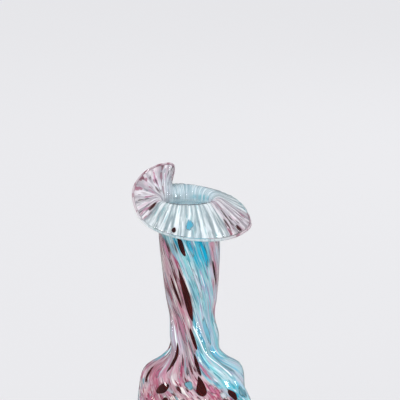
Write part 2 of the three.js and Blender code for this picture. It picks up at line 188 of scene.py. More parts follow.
def lobe_at(z, around):
    """How far the lobes stand out, as a share of the radius."""
    heel = smooth((z - BASE_Z) / (LOWER_Z - BASE_Z))
    strands = smooth((z - BULB_TOP_Z) / (STRAND_Z - BULB_TOP_Z))
    neck = smooth((z - STRAND_Z) / (PLAIN_Z - STRAND_Z))
    throat = smooth((z - WAIST_Z) / (THROAT_Z - WAIST_Z))
    height = mix(mix(BULB_LOBE, STRAND_LOBE, strands), NECK_LOBE, neck)
    return height * heel * (1 - throat) * lobe_wave(around)


print("twist from the base to the throat:", round(float(twist_at(BASE_Z) - twist_at(THROAT_Z))))

# %% [markdown]
# ## The fold along each strand
# Where the neck starts, the lobes have closed up to strands, and the twist has pressed the skin
# up into a fine fold along each one's crest. It is too low for the CAD model's faces. It wanders
# off the crest as it climbs, and it starts lowest on the strand that crosses the front.

# %% The fold along each strand
HALF_SPAN = 180 / LOBES  # half of the way from strand to strand
FOLD_HEIGHT, FOLD_WIDTH = 0.35, 2.4
# how far the fold lies from the crest, by its place along the wall
FOLD_SHIFT = np.array([
    (0.33, 4), (0.345, 7), (0.363, 11), (0.39, 7), (0.41, 4.8), (0.43, 2.5),
    (0.47, 2.2), (0.507, 0.2), (0.534, -3), (0.56, -6),
]).T
FRONT_FOOT, LEFT_FOOT, OTHER_FOOT = 0.314, 0.4, 0.36
LEFT_STRAND, LEFT_SHIFT, LEFT_SHIFTS_FROM = 288, 60, 0.43


def strands_at(along):
    """1 where the lobes have closed up to strands and 0 in the bulb and the upper neck."""
    return smooth((along - 0.33) / 0.05) * (1 - smooth((along - 0.5) / 0.1))


def fold_at(along, around):
    """1 on the top of the fold and 0 off it."""
    front = np.abs(np.mod(around + 180, 360) - 180) < HALF_SPAN
    left = np.abs(np.mod(around, 360) - LEFT_STRAND) < HALF_SPAN
    drift = left * LEFT_SHIFT * np.maximum(0, along - LEFT_SHIFTS_FROM)
    shift = np.interp(along, *FOLD_SHIFT) + drift
    off = np.mod(around - shift + HALF_SPAN, 2 * HALF_SPAN) - HALF_SPAN
    foot = np.where(front, FRONT_FOOT, np.where(left, LEFT_FOOT, OTHER_FOOT))
    fade = smooth((along - foot) / 0.03) * (1 - smooth((along - 0.5) / 0.06))
    return fade * np.exp(-((off / FOLD_WIDTH) ** 2))


print("the fold is", FOLD_HEIGHT, "mm high on each of", LOBES, "strands")

# %% [markdown]
# ## The middle of the wall
# The ribs are what the mould's fine teeth leave in the lip. Even ribs would look machined, so
# two waves are added up, and their heights come and go round the circle. The lip's way out is
# added up in short steps, each turned a little further than the one before.

# %% The middle of the wall


def rib_wave(around):
    """The lip's ribs, about -1 to 1: fine ones, and every other one stronger by turns."""
    fine = 0.65 * np.cos(np.radians(RIBS * around))
    strong = 0.6 * np.cos(np.radians(RIBS / 2 * around + 50 * np.sin(np.radians(3 * around))))
    return fine * (1 + 0.4 * np.sin(np.radians(7 * around + 40))) + strong


def middle(along, around):
    """Points in the middle of the wall's thickness."""
    along, around = np.broadcast_arrays(np.asarray(along, float), np.asarray(around, float))
    z = mix(BASE_Z, THROAT_Z, np.minimum(1, along))
    bearing = around - 90 + twist_at(z)
    rib = RIB_HEIGHT * smooth((along - RIBS_FROM) / RIBS_FADE) * rib_wave(around)
    lean = NECK_LEAN * np.maximum(0, (z - BULB_TOP_Z) / (THROAT_Z - BULB_TOP_Z)) ** LEAN_CURVE
    share = np.maximum(0, along - 1)
    bend, fold = np.radians(lip_at(BEND, bearing)), LIP_FOLD * lip_at(FOLD, bearing)
    reach = LIP_LENGTH * lip_at(LENGTH, bearing) * share
    facing = bend * smooth(reach / fold)
    out = through(STATION_Z, STATION_R, z) * (1 + lobe_at(z, around)) + rib * np.cos(facing)
    up = z - rib * np.sin(facing)
    for i in range(FOLD_STEPS):
        turned = bend * smooth((i + 0.5) / FOLD_STEPS * reach / fold)
        out = out + np.sin(turned) * reach / FOLD_STEPS
        up = up + np.cos(turned) * reach / FOLD_STEPS
    angle = np.radians(bearing + lip_at(SWEEP, bearing) * share**SWEEP_CURVE)
    return np.stack([lean + out * np.cos(angle), out * np.sin(angle), up], -1)


print("the lip's edge at the front:", np.round(middle(2.0, 79.0), 1))

# %% [markdown]
# ## The wall at a depth
# A face of a gather lies at some depth from that middle. The way out is square to two short
# steps on the wall, one up it and one round it.

# %% The wall at a depth
STEP_UP, STEP_ROUND = 1e-3, 0.1


def wall(along, around, depth, past=0.0):
    """Points at a depth from the middle, outwards positive, and past them along the wall."""
    here = middle(along, around)
    up = middle(np.minimum(2, along + STEP_UP), around) - middle(along - STEP_UP, around)
    across = middle(along, around + STEP_ROUND) - middle(along, around - STEP_ROUND)
    out = np.cross(across, up)
    out /= np.linalg.norm(out, axis=-1, keepdims=True)
    up /= np.linalg.norm(up, axis=-1, keepdims=True)
    return here + out * np.asarray(depth)[..., None] + up * np.asarray(past)[..., None]


def lip_share(along):
    """0 in the body and 1 in the lip, where both gathers are thin."""
    return smooth((along - 0.8) / 0.25)


def casing_at(along):
    return mix(CASING_WALL, CASING_LIP, lip_share(along))


def lining_at(along):
    return mix(LINING_FLOOR, mix(LINING_WALL, LINING_LIP, lip_share(along)), smooth(along / 0.08))


def short_of(distance):
    """The place along the wall that is this far from the lip's edge."""
    return 2 - distance / (LIP_LENGTH * LIP[:, LENGTH].min())


print("the lining's thickness in the bulb:", round(float(lining_at(0.3)), 2), "mm")

# %% [markdown]
# ## Where the colours lie
# Each chip is drawn out with the glass it lies in: round in the bulb, a long streak in the neck,
# and spread thin in the lip. A pattern that is to do the same needs coordinates that stay with
# the glass. They are kept on the mesh as an attribute: two numbers go round the section, so that
# there is no seam, and the third counts chip lengths up the wall.

# %% Coordinates that stay with the glass
CHIPS_ROUND = 30
# how long a chip is, by how far up the wall it lies, both in millimetres
CHIP_LENGTHS = np.array([
    (0, 7), (48, 8), (62, 12), (75, 26), (90, 32), (150, 28), (185, 20), (200, 12), (240, 12),
], float).T


def flow_at(along, around):
    """(x, y, z) for the patterns, one unit to a chip's width and one to its length."""
    span = THROAT_Z - BASE_Z
    run = np.where(along <= 1, along * span, span + (along - 1) * LIP_LENGTH)
    fine = np.linspace(0, CHIP_LENGTHS[0, -1], 481)
    length = np.interp(fine, *CHIP_LENGTHS)
    count = np.concatenate([[0], np.cumsum(np.diff(fine) / length[1:])])
    radius = CHIPS_ROUND / (2 * np.pi)
    angle = np.radians(around)
    x, y = radius * np.cos(angle), radius * np.sin(angle)
    return np.stack([x, y, np.interp(run, fine, count)], -1)


print("chip lengths from base to throat:", round(float(flow_at(1.0, 0.0)[2]), 1))

# %% [markdown]
# ## Places where a colour is thick
# Chips fall on the gather as they will, so some places get much of one colour and some hardly
# any. Such a place is written as a spot that fades at its edge.

# %% Places where a colour is thick
# along, around, and half the width in degrees
THICK = {
    "strong_pink": [
        (0.33, 256, 20), (0.285, 322, 13), (0.35, 334, 9), (0.2, 290, 16), (0.24, 236, 12),
        (0.17, 345, 18), (0.3, 120, 22), (0.15, 80, 20), (0.6, 345, 10), (0.7, 150, 14),
    ],
    "strong_blue": [
        (0.87, 72, 24), (0.9, 42, 12), (0.265, 352, 14), (0.4, 39, 9), (0.35, 35, 8),
        (0.2, 190, 20), (0.75, 262, 18), (0.12, 20, 16), (1.08, 226, 24),
    ],
    # where the glass was drawn thinnest and palest
    "pale": [
        (0.5, 36, 22), (0.46, 288, 16), (0.36, 262, 12), (0.31, 26, 13), (0.62, 300, 10),
        (0.8, 119, 12), (0.64, 93, 11), (0.2, 265, 9), (0.17, 320, 9), (0.24, 10, 7),
        (0.335, 46, 9), (0.3, 12, 9), (0.74, 88, 8),
    ],
    # the bunch of thin oxblood streaks beside the long one
    "strong_dark": [
        (0.725, -10, 9), (0.68, -8, 9), (0.635, -9, 7), (0.85, 4, 8), (0.85, 23, 6),
    ],
}
SPOT_HEIGHT = 0.0035  # along the wall, for each degree of half width


def degrees_off(around, at):
    return np.mod(around - at + 180, 360) - 180


def strength(along, around, places):
    """How thick a colour is laid, 0 to 1."""
    off = [
        np.hypot(degrees_off(around, at) / half, (along - place) / (SPOT_HEIGHT * half))
        for place, at, half in places
    ]
    return smooth(1.5 - np.min(off, 0))


print("thick places:", {name: len(places) for name, places in THICK.items()})

# %% [markdown]
# ## Pink side, turquoise side
# The maker's first dip laid most pink down one side of the gather and most turquoise down the
# other. Seen from the front, the border between them runs down the neck and bends to the right
# over the shoulder. A second border is at the far right, and a third one at the left, past which
# the two colours are mixed. They are given as heights and facings, where 0 faces the front. The
# lip is pink in the tongue and at the right tip.

# %% Which side a bit of glass is on
BORDER = np.array([
    (20, 75), (40, 60), (50, 48), (58, 28), (67, 8), (82, 9), (94, 2), (109, 6), (124, -3),
    (139, -18), (148, -25), (158, -50), (168, -73), (190, -85),
], float).T
FAR_BORDER = np.array([
    (20, 150), (50, 120), (67, 105), (94, 100), (109, 66), (124, 56), (139, 47), (161, 46),
    (190, 50),
], float).T
LEFT_BORDER = np.array([
    (20, -150), (60, -118), (68, -90), (78, -70), (100, -66), (110, -84), (122, -130),
    (190, -150),
], float).T
BORDER_BLUR, LEFT_MIX = 7, 0.55
# around, and half the width in degrees
PINK_IN_LIP = [(335, 42), (152, 26)]
THROAT_BACK = [(255, 62)]  # the throat's back wall, seen through the mouth


def spot(around, places):
    """1 within any of the places round the section, fading to 0."""
    off = [np.abs(degrees_off(around, at)) / half for at, half in places]
    return smooth(1.5 - np.min(off, 0))


def past_border(degrees):
    """0 before a border and 1 past it, blurred."""
    return 1 / (1 + np.exp(-np.clip(degrees / BORDER_BLUR, -20, 20)))


def blue_side(along, around):
    """1 where the spatter is mostly turquoise and 0 where it is mostly pink."""
    z = mix(BASE_Z, THROAT_Z, np.minimum(1, along))
    facing = np.mod(around + twist_at(z) + 180, 360) - 180
    right = past_border(facing - np.interp(z, *BORDER))
    far = past_border(np.interp(z, *FAR_BORDER) - facing)
    left = past_border(np.interp(z, *LEFT_BORDER) - facing)
    front = np.maximum(right * far, LEFT_MIX * left)
    behind = smooth(2.2 * np.cos(np.radians(2 * (around - 80))) + 0.5)
    at_back = smooth((np.abs(facing) - 95) / 30)
    body = mix(front, behind, at_back)
    return mix(body, 1 - spot(around, PINK_IN_LIP), smooth((along - 1) / 0.2))


print("turquoise share at the waist's front:", round(float(blue_side(0.54, 0.0)), 2))

# %% [markdown]
# ## Shaping a gather
# A gather is a closed skin: out over one face of the wall, round the lip's edge and back down
# the other face. By hand one would spin a profile, but the lobes, the twist and the folded lip
# turn with height, which a spin can't do. So a grid is added, each of its rows is laid round the
# wall at its place, and the grid's two side edges are welded to close it.

# %% Closing and marking a piece


def turn_faces_out(weld=None):
    """Turns the new piece's faces outwards, after welding points no further apart than weld."""
    bpy.ops.object.mode_set(mode="EDIT")
    bpy.ops.mesh.select_all(action="SELECT")
    if weld:
        bpy.ops.mesh.remove_doubles(threshold=weld)
    bpy.ops.mesh.normals_make_consistent(inside=False)
    bpy.ops.object.mode_set(mode="OBJECT")


def mark(piece, along, around, **numbers):
    """Keeps on each point where its glass lies, and numbers for the finishes to read."""
    flow = piece.data.attributes.new("flow", "FLOAT_VECTOR", "POINT")
    flow.data.foreach_set("vector", flow_at(along, around).astype(np.float32).ravel())
    for name, values in {"along": along, **numbers}.items():
        layer = piece.data.attributes.new(name, "FLOAT", "POINT")
        layer.data.foreach_set("value", np.ascontiguousarray(values, np.float32))


def wall_numbers(along, around):
    """What the finishes of the gathers read: sides, places, crests, ribs and the throat."""
    throat = smooth((along - 0.82) / 0.1) * (1 - smooth((along - 1.5) / 0.4))
    return {
        "blue_side": blue_side(along, around),
        "crest": strands_at(along) * lobe_wave(around),
        "fold": fold_at(along, around),
        "ridge": 0.5 + 0.4 * rib_wave(around),
        "throat": throat * spot(around, THROAT_BACK),
        **{name: strength(along, around, places) for name, places in THICK.items()},
    }


print("numbers kept on a gather:", ", ".join(wall_numbers(np.zeros(1), np.zeros(1))))

# %% A grid laid over the wall
COLUMNS = 8 * RIBS
AROUND = np.linspace(0, 360, COLUMNS + 1)
WELD = 1e-6


def grid_points(piece, columns, rows):
    """For each point of a fresh grid, its column and its row."""
    corner = np.empty(len(piece.data.vertices) * 3)
    piece.data.vertices.foreach_get("co", corner)
    share = (corner.reshape(-1, 3) + 1) / 2
    return np.rint(share[:, 0] * columns).astype(int), np.rint(share[:, 1] * rows).astype(int)


def fused_faces(piece, fused):
    """Gives the piece's second material to the faces between fused rows."""
    corners = np.empty(4 * len(piece.data.polygons), np.int32)
    piece.data.loops.foreach_get("vertex_index", corners)
    inner = fused[corners.reshape(-1, 4)].min(1)
    piece.data.polygons.foreach_set("material_index", inner.astype(np.int32))


def grid_over_wall(name, rows):
    """A closed skin over the wall. rows holds (along, depth, past, fused) for each row, and a
    row with along None is drawn together to one point at that depth under the base's middle."""
    bpy.ops.object.select_all(action="DESELECT")
    bpy.ops.mesh.primitive_grid_add(
        x_subdivisions=COLUMNS, y_subdivisions=len(rows) - 1, size=2, calc_uvs=False
    )
    piece = bpy.context.object
    piece.name = piece.data.name = name
    column, row = grid_points(piece, COLUMNS, len(rows) - 1)
    pole = np.array([r[0] is None for r in rows])[row]
    along, depth, past, fused = np.array([(r[0] or 0, *r[1:]) for r in rows], float)[row].T
    turn = AROUND[column]
    raised = (depth > HALF_GAP) * FOLD_HEIGHT * fold_at(along, turn)
    place = wall(along, turn, depth + raised, past)
    bearing = np.radians(turn - 90 + twist_at(BASE_Z))
    reach = np.where(pole, 0, BASE_RADIUS)
    disc = np.stack([reach * np.cos(bearing), reach * np.sin(bearing), BASE_Z - depth], -1)
    place = np.where((along == 0)[:, None], disc, place)
    piece.data.vertices.foreach_set("co", (place * MM).ravel())
    mark(piece, along, turn, **wall_numbers(along, turn))
    fused_faces(piece, fused)
    turn_faces_out(weld=WELD)
    bpy.ops.object.shade_smooth()
    return piece


print("a gather is a grid of", COLUMNS, "columns")

# %% [markdown]
# ## The lining
# The first gather: floor, inside of the bulb, neck and lip. It stops just short of the lip's
# edge, inside the bead. Its outer face, which is fused to the casing, carries the spatter in the
# bulb and the neck, so those rows are marked as fused and take a second finish.

# %% Rows up a face of the wall
BODY_ROWS, LIP_ROWS, LIP_ROW_CURVE = 84, 36, 1.3


def face_rows(end):
    """Places along the wall from the base's edge to the lip, closer together in the fold."""
    body = np.linspace(0, 1, BODY_ROWS, endpoint=False)
    lip = 1 + (end - 1) * np.linspace(0, 1, LIP_ROWS) ** LIP_ROW_CURVE
    return np.concatenate([body, lip])


print("a face of the wall has", len(face_rows(2)), "rows")

# %% The lining
lining_end = short_of(LIP_BEAD + SEAT)
lining_rows = [(None, -HALF_GAP, 0, 1)]
lining_rows += [(a, -HALF_GAP, 0, 1) for a in face_rows(lining_end)]
lining_rows += [(lining_end, -HALF_GAP - LINING_LIP, 0, 1)]
lining_rows += [(a, -HALF_GAP - lining_at(a), 0, 0) for a in face_rows(lining_end)[::-1]]
lining_rows += [(None, -HALF_GAP - LINING_FLOOR, 0, 0)]
lining = grid_over_wall("glass_lining", lining_rows)
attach(lining, "root")
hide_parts("inner_lining")
print("lining:", len(lining.data.polygons), "faces")

# %% [markdown]
# ## The casing
# The second gather: the clear outside of the vase, its ground base, and the bead that fire
# melts round over the lining's end. The bead is half an ellipse from face to face. A row close
# to the corner behind the bead keeps that corner crisp.

# %% The casing
BEAD_ROWS, BEAD_FOOT, BEAD_TOP, BEAD_SQUASH, CORNER = 8, 1.975, 1.985, 0.55, 0.1
bead_start = short_of(LIP_BEAD)
inner_face = -HALF_GAP - LINING_LIP
half_lip = (HALF_GAP + CASING_LIP - inner_face) / 2
casing_rows = [(None, HALF_GAP + CASING_WALL, 0, 0)]
casing_rows += [(a, HALF_GAP + casing_at(a), 0, 0) for a in face_rows(BEAD_FOOT)]
for t in np.linspace(0, np.pi, BEAD_ROWS):
    over = BEAD_SQUASH * half_lip * math.sin(t)
    casing_rows += [(BEAD_TOP, inner_face + half_lip + half_lip * math.cos(t), over, 0)]
casing_rows += [(BEAD_FOOT, inner_face, 0, 0), (bead_start, inner_face, 0, 0)]
casing_rows += [(bead_start, inner_face, 0, 1), (bead_start, inner_face + CORNER, 0, 1)]
casing_rows += [(bead_start, HALF_GAP, 0, 1)]
casing_rows += [(a, HALF_GAP, 0, 1) for a in face_rows(bead_start)[-2::-1]]
casing_rows += [(None, HALF_GAP, 0, 1)]
casing = grid_over_wall("glass_casing", casing_rows)
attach(casing, "root")
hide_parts("outer_casing")
print("casing:", len(casing.data.polygons), "faces")

# %% [markdown]
# ## The chips
# The large chips are pieces of their own, since they are separate bits of coloured glass. Those
# at the front are written down one by one, as they lie in the vase, and the others go round it
# in rows, since one bit of spatter there is as good as another.

# %% Where the chips lie
# by colour: place along the wall, facing, length, width, fuller lower end, lean of the top
FRONT_CHIPS = {
    "oxblood": [
        (0.859, -17, 18, 4.2, 0.15), (0.656, -13.5, 44, 5, 0.25, 5), (0.668, -39, 28, 2.6),
        (0.735, 63, 22, 2.8), (0.4, -43.5, 24, 3.2, 0, 14), (0.475, 0.5, 18, 3.2, 0, 3),
        (0.378, 6, 20, 3, 0, 8), (0.303, 8.5, 15.5, 7, 0.5, 22), (0.288, -40.5, 17, 6.2, 0, 100),
        (0.262, 46.5, 12, 4.6), (0.232, -35, 11, 7, 0, 60), (0.313, -80.5, 13, 3.4, 0, 13),
        (1.48, -65, 8.5, 3.8), (1.86, 60, 6, 3), (1.83, -16, 4.5, 3.2),
    ],
    "turquoise": [
        (0.825, 31, 26, 4.6, -0.3), (0.85, 1.5, 16, 3.6), (0.5, 47, 26, 4.6), (0.36, 62, 26, 6),
        (0.309, -7, 8, 7), (1.65, 2, 9.5, 5.5), (0.262, 62, 14, 6),
    ],
    "pink": [
        (0.835, -54, 22, 5), (0.52, -38, 30, 6), (0.335, -58, 11, 8), (0.292, 23, 9, 6),
        (1.82, -112, 8, 3.5), (1.75, 84, 9, 4),
    ],
    "white": [(0.7, 16, 30, 4.2), (0.266, 35.5, 7.5, 5.5)],
}
# rows round the far side and the bulb's lower half: place, from, to, count, length, width
CHIP_ROWS = [
    (0.075, 0, 360, 7, 9, 8), (0.155, 20, 380, 7, 12, 8), (0.28, 108, 288, 4, 13, 8),
    (0.46, 100, 300, 3, 24, 4.5), (0.76, 100, 290, 3, 30, 5),
]
ROW_COLOURS = ["turquoise", "pink", "oxblood", "white"]

chips = [(colour, *shape) for colour, shapes in FRONT_CHIPS.items() for shape in shapes]
for row, (place, start, end, count, length, width) in enumerate(CHIP_ROWS):
    for i in range(count):
        colour = ROW_COLOURS[(i + row) % len(ROW_COLOURS)]
        chips.append((colour, place, mix(start, end, i / count), length, width))
print(len(chips), "chips")

# %% [markdown]
# ## Pressing a chip flat
# Heat and rolling make a chip a flat drop with round edges and an uneven outline. So each chip
# starts as a sphere with a pole at either end, which is pressed to that drop.

# %% Pressing a chip flat
SMALL_WOBBLE, DROP_WOBBLE = 0.09, 0.05  # how uneven the outline is, as a share of the width
STREAK = 3  # a chip this many times as long as wide is a streak, with slim ends
SLIM_END, CROOKED = 0.4, 0.05


def chip_blank(name):
    """A sphere whose poles are the chip's two ends, and its points' side, up and thickness."""
    bpy.ops.object.select_all(action="DESELECT")
    bpy.ops.mesh.primitive_uv_sphere_add(segments=32, ring_count=24, radius=1)
    piece = bpy.context.object
    piece.name = piece.data.name = name
    bpy.ops.object.mode_set(mode="EDIT")
    bpy.ops.mesh.select_all(action="SELECT")
    bpy.ops.transform.rotate(value=math.pi / 2, orient_axis="X", center_override=(0, 0, 0))
    bpy.ops.object.mode_set(mode="OBJECT")
    corner = np.empty(len(piece.data.vertices) * 3)
    piece.data.vertices.foreach_get("co", corner)
    return piece, corner.reshape(-1, 3).T


def press(side, up, length, width, drop, seed):
    """Where the sphere's points go across and up the flat chip, in millimetres."""
    angle = np.arctan2(up, side)
    rough = DROP_WOBBLE if drop else SMALL_WOBBLE
    wobble = rough * (np.sin(2 * angle + seed) + np.sin(3 * angle + 2.3 * seed))
    end = SLIM_END if length > STREAK * width else 0.0
    slim = 1 - end * np.maximum(up, -0.6 * up) ** 2
    side = side * (1 + wobble) * slim * (1 - drop * up) * width / 2
    side = side + CROOKED * width * np.sin(2.6 * up + 1.7 * seed) * (1 - up**2)
    return side, up * length / 2


print("a chip's outline is uneven by up to", round(2 * SMALL_WOBBLE, 2), "of its width")

# %% [markdown]
# ## Laying a chip in the wall
# The chip lies flat on the lining's outer face, in the gap between the gathers, with its long
# way up the wall. A chip that is bent through space would stand off a curved wall, so each of
# its points is turned into a place on the wall instead.

# %% Laying a chip in the wall
CHIP_SEAT, CHIP_DOME = 0.02, 0.3
NEAR = 0.01


def way_up(place, centre):
    """For one unit along the wall, millimetres up it and sideways; and for one degree, round."""
    rise = (middle(place + NEAR, centre) - middle(place - NEAR, centre)) / (2 * NEAR)
    level = (middle(place, centre + 1) - middle(place, centre - 1)) / 2
    arc = np.linalg.norm(level)
    drift = rise @ level / arc
    return math.sqrt(rise @ rise - drift**2), drift, arc


def lay_chip(name, seed, place, facing, length, width, drop=0, lean=0):
    """A low drop on the lining's face."""
    piece, (side, up, thick) = chip_blank(name)
    rim = np.hypot(side, up)
    side, up = press(side, up, length, width, drop, seed)
    centre = facing - twist_at(mix(BASE_Z, THROAT_Z, min(1, place)))
    climb, drift, arc = way_up(place, centre)
    turn = math.atan2(drift, climb) + math.radians(lean)
    across = side * math.cos(turn) + up * math.sin(turn)
    share = (up * math.cos(turn) - side * math.sin(turn)) / climb
    along, around = place + share, centre + (across - share * drift) / arc
    dome = np.maximum(0, thick) ** 2 * CHIP_DOME
    co = wall(along, around, CHIP_SEAT - HALF_GAP + dome)
    piece.data.vertices.foreach_set("co", (co * MM).ravel())
    mark(piece, along, around, rim=rim)
    turn_faces_out()
    bpy.ops.object.shade_smooth_by_angle(angle=math.radians(50))
    return piece


chip_pieces = {colour: [] for colour in ROW_COLOURS}
for seed, (colour, *shape) in enumerate(chips):
    which = len(chip_pieces[colour]) + 1
    piece = lay_chip(f"glass_{colour}_{which:02d}", seed, *shape)
    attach(piece, "root")
    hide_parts(f"{colour}_chip_{which:02d}")
    chip_pieces[colour].append(piece)
print("laid", {colour: len(pieces) for colour, pieces in chip_pieces.items()})

# %% [markdown]
# ## Writing shaders as sums
# A finish is easier to read as a sum than as a web of nodes. This small class holds one output
# of a node, and Python's signs on it add Math nodes.

# %% One output of a node


class Value:
    """One output of a node in a finish."""

    def __init__(self, finish, socket):
        self.finish, self.socket = finish, socket

    def beside(self, name):
        """Another output of the same node."""
        return Value(self.finish, self.socket.node.outputs[name])

    def math(self, operation, other):
        return self.finish.node("Math", self, other, operation=operation)

    def __add__(self, other):
        return self.math("ADD", other)

    def __sub__(self, other):
        return self.math("SUBTRACT", other)

    def __mul__(self, other):
        return self.math("MULTIPLY", other)

    def __rsub__(self, other):
        return self * -1 + other

    __radd__ = __add__
    __rmul__ = __mul__

    def over(self, low, high):
        """0 below low and 1 above high, smoothly between. low may be above high."""
        if low > high:
            return 1 - self.over(high, low)
        return self.finish.node(
            "MapRange", self, low, high, 0.0, 1.0, interpolation_type="SMOOTHSTEP"
        )

    def tint(self, under, over):
        """The colour under where this is 0, and over where it is 1."""
        # a Mix node's sockets 0, 6 and 7 are its factor and two colours, and output 2 a colour
        return self.finish.node("Mix", out=2, named={0: self, 6: under, 7: over}, data_type="RGBA")


print("signs that add nodes: + - *")

# %% A finish


class Finish:
    """A material under construction, or the world's light."""

    def __init__(self, name, world=False):
        self.made = (bpy.data.worlds if world else bpy.data.materials).new(name)
        self.made.use_nodes = True
        self.tree = self.made.node_tree
        self.tree.nodes.clear()
        kind = "ShaderNodeOutputWorld" if world else "ShaderNodeOutputMaterial"
        self.surface = self.tree.nodes.new(kind).inputs["Surface"]
        self.read = {}

    def feed(self, socket, value):
        if isinstance(value, Value):
            self.tree.links.new(value.socket, socket)
        else:
            socket.default_value = value

    def node(self, kind, *values, out=0, stops=(), named=None, **settings):
        """Adds a node: its settings and a ramp's stops, then its sockets in order or by name."""
        node = self.tree.nodes.new("ShaderNode" + kind)
        for key, value in settings.items():
            setattr(node, key, value)
        if stops:
            ramp = node.color_ramp
            ramp.interpolation = "CONSTANT"
            while len(ramp.elements) < len(stops):
                ramp.elements.new(1)
            for element, (position, colour) in zip(ramp.elements, stops):
                element.position, element.color = position, colour
        for socket, value in zip(node.inputs, values):
            self.feed(socket, value)
        for key, value in (named or {}).items():
            self.feed(node.inputs[key], value)
        return Value(self, node.outputs[out])

    def kept(self, name, out="Fac"):
        """What the mesh keeps under a name. A finish has one node for each."""
        if name not in self.read:
            self.read[name] = self.node("Attribute", out=out, attribute_name=name)
        return self.read[name]

    def show(self, value, pieces=()):
        self.feed(self.surface, value)
        for piece in pieces:
            piece.data.materials.append(self.made)
        print("finish", self.made.name, "on", len(pieces), "pieces")


def srgb(red, green, blue):
    """A colour as seen on a screen, 0 to 255, as the shader wants it."""
    def linear(c):
        c /= 255
        return c / 12.92 if c <= 0.04045 else ((c + 0.055) / 1.055) ** 2.4
    return (linear(red), linear(green), linear(blue), 1.0)


print("mid grey is", round(srgb(128, 128, 128)[0], 3), "to the shader")

# %% [markdown]
# ## Glass in layers
# The gloss of a vase is all on its clear outer skin. The colours inside it have none, or the
# vase would look painted. Where there is no colour, a layer has to let the light straight
# through, so each is coloured glass mixed with nothing at all.

# %% A finish of glass


class Glass(Finish):
    """A finish whose patterns lie on the coordinates that stay with the glass."""

    def stretched(self, x, z, shift):
        """Those coordinates with x units to a chip's width and z to its length."""
        return self.node("Mapping", self.kept("flow", "Vector"), named={
            "Scale": (x, x, z), "Location": (shift,) * 3,
        })

    def noise(self, x, z, detail=2.0, shift=0.0, out="Fac"):
        return self.node("TexNoise", out=out, named={
            "Vector": self.stretched(x, z, shift), "Scale": 1.0, "Detail": detail,
        })

    def show_inside(self, colour, cover, pieces):
        """Shows the colour where cover is 1, without a gloss, and nothing where it is 0."""
        inside = self.node("BsdfPrincipled", named={
            "Base Color": colour, "Roughness": 0.5, "Specular IOR Level": 0.0,
        })
        gap = self.node("BsdfTransparent", (1, 1, 1, 1))
        self.show(self.node("MixShader", cover, gap, inside), pieces)


print("a glass pattern is", CHIPS_ROUND, "chips round")

# %% [markdown]
# ## Clear glass
# Clear glass bends what is seen through it and mirrors a little, more at its edges. Lamps don't
# shine through such a surface in Cycles, so for the rays that look for a lamp it is given as a
# plain window instead, which keeps what lies inside it lit. The faces where the gathers have
# fused have no clear glass, only the colour between them: there is no surface left to bend
# light, so the spatter fills the vase right out to its outline, as in the photograph.
# Hand-blown glass is a little wavy, and the base is ground matt. At the lip's edge one looks
# along the wall, so the colours in it add up: there the glass is partly coloured, with streaks.

# %% Clear glass
CLEAR = srgb(243, 250, 250)
GLASS_IOR = 1.48


def wavy_glass(glass):
    waves = glass.node("TexNoise", named={
        "Vector": glass.node("TexCoord", out="Object"), "Scale": 45.0, "Detail": 1.0,
    })
    normal = glass.node("Bump", named={"Strength": 0.12, "Distance": 0.0006, "Height": waves})
    ground = glass.kept("along").over(0.006, 0.0)
    return glass.node("BsdfPrincipled", named={
        "Base Color": CLEAR, "Roughness": ground * 0.4, "IOR": GLASS_IOR,
        "Transmission Weight": 1.0, "Normal": normal,
    })


def edge_glass(glass):
    side = glass.kept("blue_side")
    pale = side.tint(srgb(226, 208, 216), srgb(222, 232, 236))
    deep = side.tint(srgb(160, 84, 110), srgb(168, 192, 196))
    colour = glass.noise(2.6, 2.6, 3.0).over(0.5, 0.62).tint(pale, deep)
    return glass.node("BsdfPrincipled", named={"Base Color": colour, "Roughness": 0.3})


for name, gather in (("clear casing glass", casing), ("clear lining glass", lining)):
    glass = Glass(name)
    edge = glass.kept("along").over(1.955, 1.975) * 0.6
    seen = glass.node("MixShader", edge, wavy_glass(glass), edge_glass(glass))
    window = glass.node("BsdfTransparent", CLEAR)
    lamp_ray = glass.node("LightPath", out="Is Shadow Ray")
    glass.show(glass.node("MixShader", lamp_ray, seen, window), [gather])

# %% [markdown]
# ## The spatter
# Under the big chips lies a ground of small ones, drawn out to streaks. Thousands of small
# meshes would be slow, so they are a pattern: cells of a Voronoi texture on the glass's own
# coordinates make chips that stretch with it. Each cell picks its colour by chance from what its
# side of the vase has, and a stop with no cover leaves the layer below it showing. Three layers,
# from broad to fine, give the mix of widths that real chips have.

